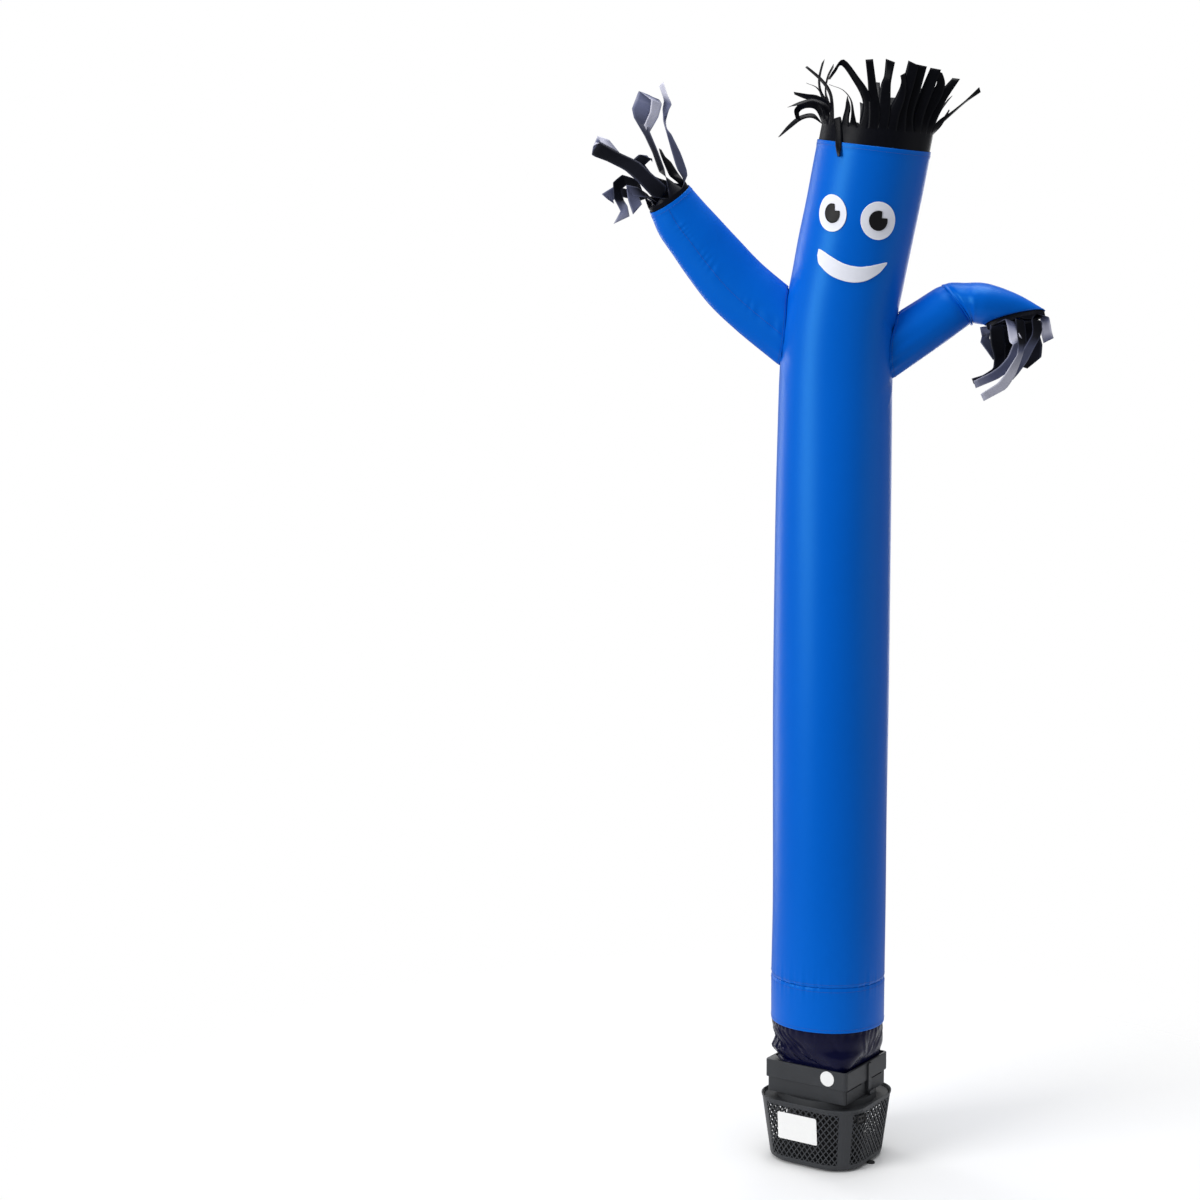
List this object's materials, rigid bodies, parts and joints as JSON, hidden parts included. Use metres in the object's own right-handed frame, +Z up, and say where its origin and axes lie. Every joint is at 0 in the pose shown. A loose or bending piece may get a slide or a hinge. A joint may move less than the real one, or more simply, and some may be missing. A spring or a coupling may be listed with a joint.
{
  "type": "inflatable tube dancer on a floor blower",
  "caption": "Blown-up cloth tube figure with two sleeves, strip hair and hands and a smiling face, standing on its square floor blower.",
  "frame": {"origin": "middle of the blower's flat underside, on the floor", "axes": "+Z up the tube, -Y the way the face looks, +X to the figure's bent sleeve"},
  "size_m": [0.8999, 0.3236, 2.1835],
  "materials": {
    "blue_nylon": "thin coated nylon",
    "blue_nylon_band": "thin coated nylon",
    "blue_nylon_raised": "thin coated nylon",
    "blue_nylon_bent": "thin coated nylon",
    "navy_nylon": "thin coated nylon",
    "black_strips": "thin coated nylon",
    "slate_strips_raised": "thin coated nylon",
    "slate_strips_bent": "thin coated nylon",
    "eye_white_left": "thin coated nylon",
    "eye_white_right": "thin coated nylon",
    "mouth_white": "thin coated nylon",
    "pupil_ink_left": "thin coated nylon",
    "pupil_ink_right": "thin coated nylon",
    "clamp_plastic": "fine matte moulded",
    "duct_plastic": "fine matte moulded",
    "lid_plastic": "fine matte moulded",
    "charcoal_plastic": "fine matte moulded",
    "fan_plastic": "fine matte moulded",
    "pan_plastic": "fine matte moulded",
    "inlet_plastic": "fine matte moulded",
    "label_paper": "satin paper",
    "sticker_paper": "satin paper",
    "foot_rubber": "matte"
  },
  "bodies": {
    "root": {"body_tube": "blue_nylon", "foot_band": "blue_nylon_band", "arm_raised": "blue_nylon_raised", "arm_bent": "blue_nylon_bent", "cuff": "navy_nylon", "hair": "black_strips", "fringe_raised": "slate_strips_raised", "fringe_bent": "slate_strips_bent", "eye_left": "eye_white_left", "eye_right": "eye_white_right", "mouth": "mouth_white", "pupil_left": "pupil_ink_left", "pupil_right": "pupil_ink_right", "clamp_frame": "clamp_plastic", "duct": "duct_plastic", "lid": "lid_plastic", "grille_basket": "charcoal_plastic", "fan_housing": "fan_plastic", "base_plate": "pan_plastic", "power_inlet": "inlet_plastic", "rating_label": "label_paper", "round_sticker": "sticker_paper", "foot_1": "foot_rubber", "foot_2": "foot_rubber", "foot_3": "foot_rubber", "foot_4": "foot_rubber"}
  },
  "joints": []
}
